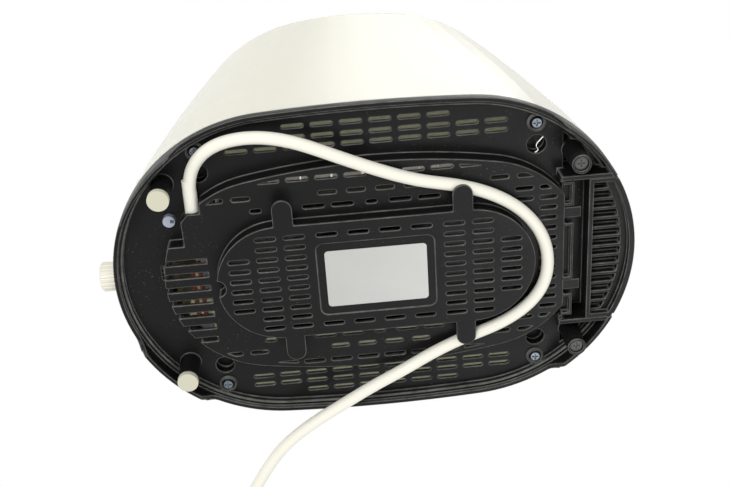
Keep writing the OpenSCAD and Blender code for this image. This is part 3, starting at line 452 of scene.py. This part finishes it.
# %% Mica boards
# Mica board is pressed from flakes: Voronoi cells give each flake its own shade.
mica, tree, shader = new_material("mica")
flakes = add(tree, "TexVoronoi", {
    "Vector": add(tree, "TexCoord").outputs["Object"], "Scale": 260.0})
shade = add(tree, "RGBToBW", {"Color": flakes.outputs["Color"]})
tree.links.new(mix_colour(tree, shade.outputs["Val"], (0.36, 0.29, 0.17), (0.56, 0.47, 0.30)),
               shader.inputs["Base Color"])
gloss = add(tree, "MapRange", {"Value": shade.outputs["Val"], "To Min": 0.25, "To Max": 0.5})
tree.links.new(gloss.outputs["Result"], shader.inputs["Roughness"])
dress(mica, "heater_boards")

# %% Metals
dress(metal("brushed_top", (0.74, 0.74, 0.75), (0.66, 0.66, 0.67), (0.22, 0.36)), "top_plate")
dress(metal("zinc_sheet", (0.20, 0.20, 0.20), (0.13, 0.13, 0.13), (0.45, 0.6),
            stretch=(6.0, 6.0, 6.0)), "crumb_tray")
dress(metal("plated_sheet", (0.66, 0.67, 0.68), (0.55, 0.56, 0.57), (0.28, 0.42),
            stretch=(3.0, 20.0, 3.0)),
      "front_plate", "rear_plate", "side_reflectors", "carriage", "bread_racks", "lever_arm")
dress(metal("plated_wire", (0.70, 0.70, 0.72), (0.6, 0.6, 0.61), (0.2, 0.3),
            stretch=(8.0, 8.0, 8.0)),
      "guard_right_outer", "guard_right_inner", "guard_left_inner", "guard_left_outer")
dress(metal("bright_steel", (0.62, 0.64, 0.66), (0.40, 0.42, 0.44), (0.22, 0.4),
            stretch=(12.0, 12.0, 12.0)),
      "knob_shaft", "guide_rods", "plug_pins")
dress(metal("blued_zinc", (0.22, 0.25, 0.28), (0.12, 0.14, 0.16), (0.3, 0.5),
            stretch=(12.0, 12.0, 12.0)), "base_screws")
dress(metal("heating_alloy", (0.36, 0.33, 0.31), (0.25, 0.22, 0.2), (0.4, 0.55)),
      "heating_wires", "return_spring")
dress(metal("copper_winding", (0.60, 0.30, 0.16), (0.45, 0.2, 0.1), (0.3, 0.45),
            stretch=(4.0, 4.0, 60.0)), "magnet")
dress(metal("silver_film", (0.52, 0.52, 0.50), (0.46, 0.46, 0.44), (0.30, 0.42),
            stretch=(1.0, 30.0, 30.0), bump=0.05, metallic=0.35), "label_plate")

# %% [markdown]
# In the well beside one rear screw a bent spring wire catches the light. It is wedged across the well
# from wall to wall. The same two functions that made the lead make it: an even path and a round tube.

# %% Spring wire in the well
WIRE_D = 0.9 * MM
WIRE_Z = 23.0
WIRE_STEP = 0.15 * MM
WIRE_SIDES = 12
WIRE_ROUTE = [
    (91.8, -62.3), (90.3, -60.6), (89.3, -59.6), (88.3, -58.3), (88.1, -57.0), (88.8, -56.0),
    (89.3, -55.1), (88.7, -54.3), (87.6, -53.5),
]
wire_knots = np.array([at(x, y, WIRE_Z) for x, y in WIRE_ROUTE])
well_wire = tube("well_wire", even_path(wire_knots, WIRE_STEP), WIRE_D / 2, WIRE_SIDES)
well_wire.data.materials.append(
    metal("spring_steel", (0.85, 0.85, 0.83), (0.65, 0.65, 0.63), (0.15, 0.3),
          stretch=(12.0, 12.0, 12.0)))
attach(well_wire, "body")

# %% See that nothing is left bare
undressed = [name for name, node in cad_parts.items()
             if not (node.data.materials and node.data.materials[0])]
print("materials", len(bpy.data.materials), "undressed", undressed)

# %% [markdown]
# The studio is a white room. The camera, mirrors and glass see plain white, while the light that
# falls on matt surfaces is a little weaker, so pale plastic keeps its shade. The floor is a stage: it
# shows from above, with the object's shadow, and lets the camera look through it from below.

# %% Room
scene.view_settings.view_transform = "Standard"
world = bpy.data.worlds.new("studio")
scene.world = world
world.use_nodes = True
room = world.node_tree
background = room.nodes["Background"]
background.inputs["Color"].default_value = (1, 1, 1, 1)
ROOM_LIGHT = 0.72
rays = add(room, "LightPath").outputs
seen = add(room, "Math", {0: rays["Is Camera Ray"], 1: rays["Is Glossy Ray"]},
           operation="MAXIMUM")
seen = add(room, "Math", {0: seen.outputs[0], 1: rays["Is Transmission Ray"]},
           operation="MAXIMUM")
strength = add(room, "MapRange", {"Value": seen.outputs[0], "To Min": ROOM_LIGHT, "To Max": 1.0})
room.links.new(strength.outputs["Result"], background.inputs["Strength"])

# %% Floor
FLOOR_HALF = 30.0
corner = np.array([[-1, -1, 0], [1, -1, 0], [1, 1, 0], [-1, 1, 0]]) * FLOOR_HALF
floor_mesh = bpy.data.meshes.new("floor")
floor_mesh.from_pydata(corner.tolist(), [], [(0, 1, 2, 3)])
floor = bpy.data.objects.new("floor", floor_mesh)
scene.collection.objects.link(floor)
floor_paint, tree, shader = new_material("floor_paint")
shader.inputs["Base Color"].default_value = (0.86, 0.86, 0.85, 1)
shader.inputs["Roughness"].default_value = 0.9
shader.inputs["Specular IOR Level"].default_value = 0.0
clear = add(tree, "BsdfTransparent").outputs["BSDF"]
back = add(tree, "NewGeometry").outputs["Backfacing"]
front = add(tree, "Math", {0: 1.0, 1: back}, operation="SUBTRACT")
to_camera = add(tree, "LightPath").outputs["Is Camera Ray"]
shown = add(tree, "Math", {0: to_camera, 1: front.outputs[0]}, operation="MULTIPLY")
blend = add(tree, "MixShader", {0: shown.outputs[0], 1: clear, 2: shader.outputs["BSDF"]})
tree.links.new(blend.outputs[0], tree.nodes["Material Output"].inputs["Surface"])
floor_mesh.materials.append(floor_paint)


# %% Soft lamps
LAMP_AIM = (0, 0, 0.06)


def soft_lamp(name, place, watts, side):
    """A square lamp at a place, turned towards the middle of the object."""
    lamp = bpy.data.lights.new(name, "AREA")
    lamp.energy = watts
    lamp.size = side
    holder = bpy.data.objects.new(name, lamp)
    holder.location = place
    aim = Vector(LAMP_AIM) - Vector(place)
    holder.rotation_euler = aim.to_track_quat("-Z", "Y").to_euler()
    scene.collection.objects.link(holder)


soft_lamp("lamp_below", (-0.45, -0.95, -1.05), 9.0, 0.6)
soft_lamp("lamp_above", (0.5, -0.7, 1.6), 4.0, 0.9)
soft_lamp("lamp_mirrored", (0.46, 0.55, -1.0), 2.5, 0.6)
